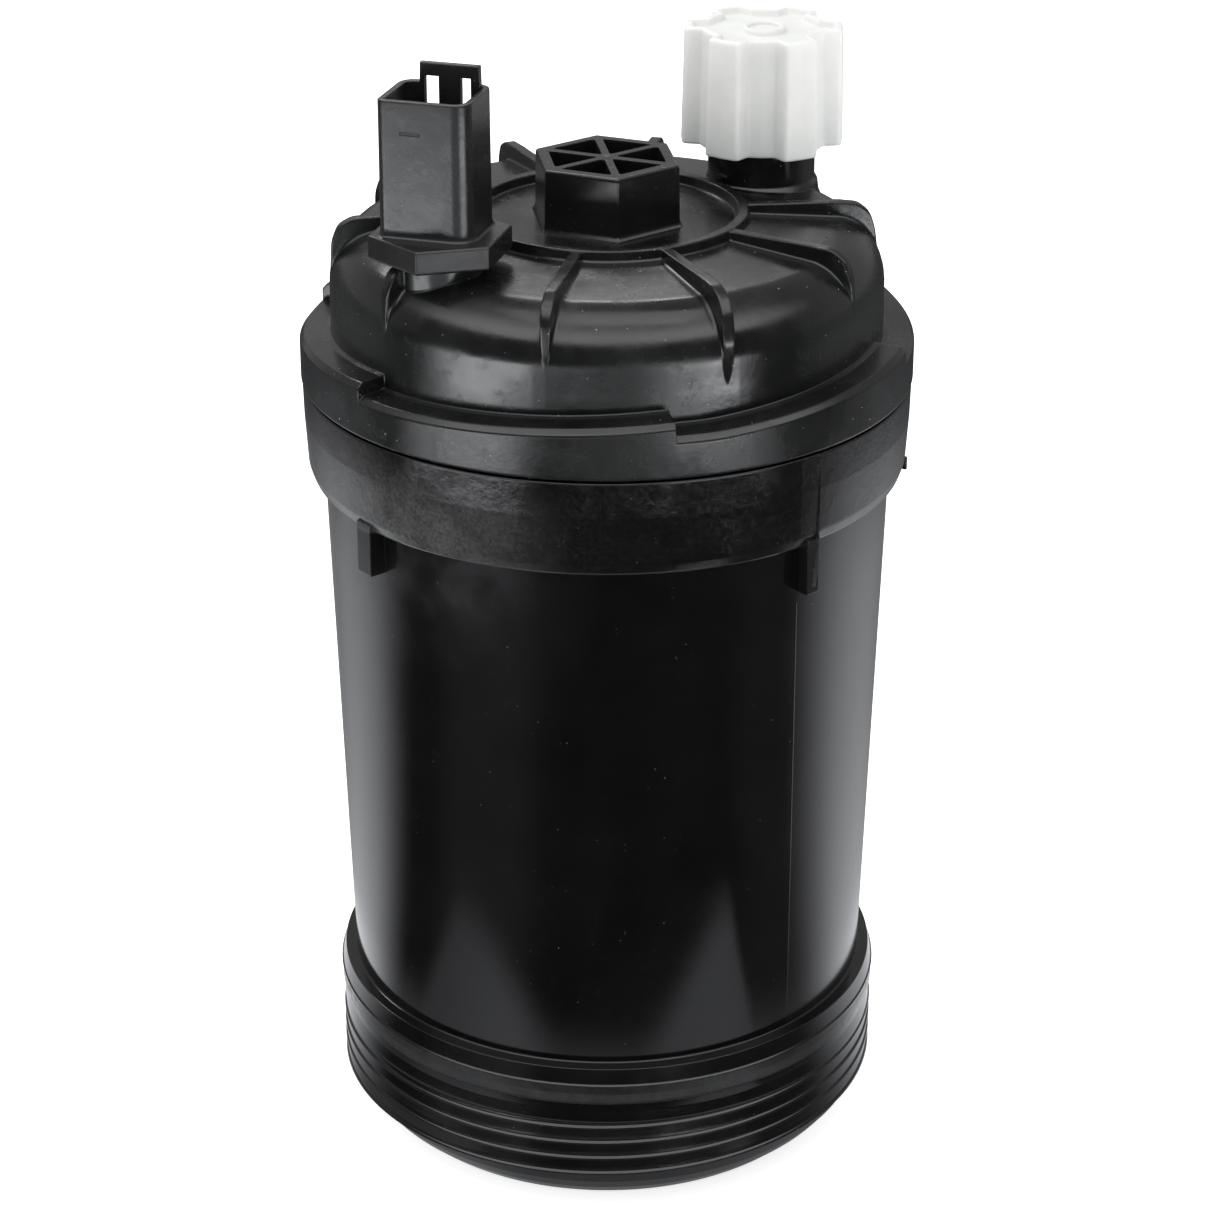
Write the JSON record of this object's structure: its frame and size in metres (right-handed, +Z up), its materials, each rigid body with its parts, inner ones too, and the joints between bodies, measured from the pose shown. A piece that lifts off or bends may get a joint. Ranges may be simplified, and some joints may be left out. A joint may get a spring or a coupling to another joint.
{
  "type": "fuel filter cartridge",
  "caption": "Black moulded diesel fuel filter and water separator cartridge with external thread, ribbed end cap, hex drive, screw-in water sensor and white drain knob.",
  "frame": {"origin": "centre of the open threaded end, which the part stands on", "axes": "+Z up the axis from the open end to the end cap; -Y is the front, between the sensor on the left and the drain knob at the back right"},
  "size_m": [0.124, 0.124, 0.2353],
  "materials": {
    "black_nylon": "semi-gloss moulded",
    "sensor_nylon": "satin moulded",
    "natural_nylon": "translucent satin",
    "inner_plastic": "satin moulded",
    "seal_rubber": "matt",
    "tinned_brass": "tinned",
    "probe_steel": "drawn",
    "filter_paper": "pleated, matt",
    "fine_filter_paper": "pleated, matt",
    "water_screen_cloth": "fine woven"
  },
  "bodies": {
    "cartridge": {"shell": "black_nylon", "end_cap": "black_nylon", "flange_seal": "seal_rubber", "retainer_plate": "inner_plastic", "outlet_grommet": "seal_rubber", "lower_end_plate": "inner_plastic", "upper_end_plate": "inner_plastic", "outer_media": "filter_paper", "inner_media": "fine_filter_paper", "water_screen": "water_screen_cloth", "centre_tube": "inner_plastic", "inner_core": "inner_plastic", "inner_lower_plate": "inner_plastic", "inner_upper_plate": "inner_plastic", "sump_spacer": "inner_plastic"},
    "drain_lift": {"drain_face_seal": "seal_rubber"},
    "drain_valve": {"drain_knob": "natural_nylon", "drain_stem": "inner_plastic", "drain_o_ring_upper": "seal_rubber", "drain_o_ring_lower": "seal_rubber"},
    "sensor_lift": {"sensor_o_ring": "seal_rubber"},
    "sensor": {"sensor_body": "sensor_nylon", "sensor_terminal_a": "tinned_brass", "sensor_terminal_b": "tinned_brass", "sensor_probe_a": "probe_steel", "sensor_probe_b": "probe_steel"}
  },
  "joints": [
    {"name": "drain_rise", "type": "slide", "parent": "cartridge", "child": "drain_lift", "axis": [0, 0, 1], "range_m": [0, 0.0046]},
    {"name": "drain_turn", "type": "hinge", "parent": "drain_lift", "child": "drain_valve", "pos_m": [0.03188, 0.02871, 0.2175], "axis": [0, 0, 1], "range_deg": [0, 540]},
    {"name": "sensor_rise", "type": "slide", "parent": "cartridge", "child": "sensor_lift", "axis": [0, 0, 1], "range_m": [0, 0.0046]},
    {"name": "sensor_turn", "type": "hinge", "parent": "sensor_lift", "child": "sensor", "pos_m": [-0.03188, -0.02871, 0.2024], "axis": [0, 0, 1], "range_deg": [0, 1080]}
  ],
  "couplings": [
    {"joint": "drain_rise", "follows": "drain_turn", "m_per_rad": 0.00047746},
    {"joint": "sensor_rise", "follows": "sensor_turn", "m_per_rad": 0.00023873}
  ]
}
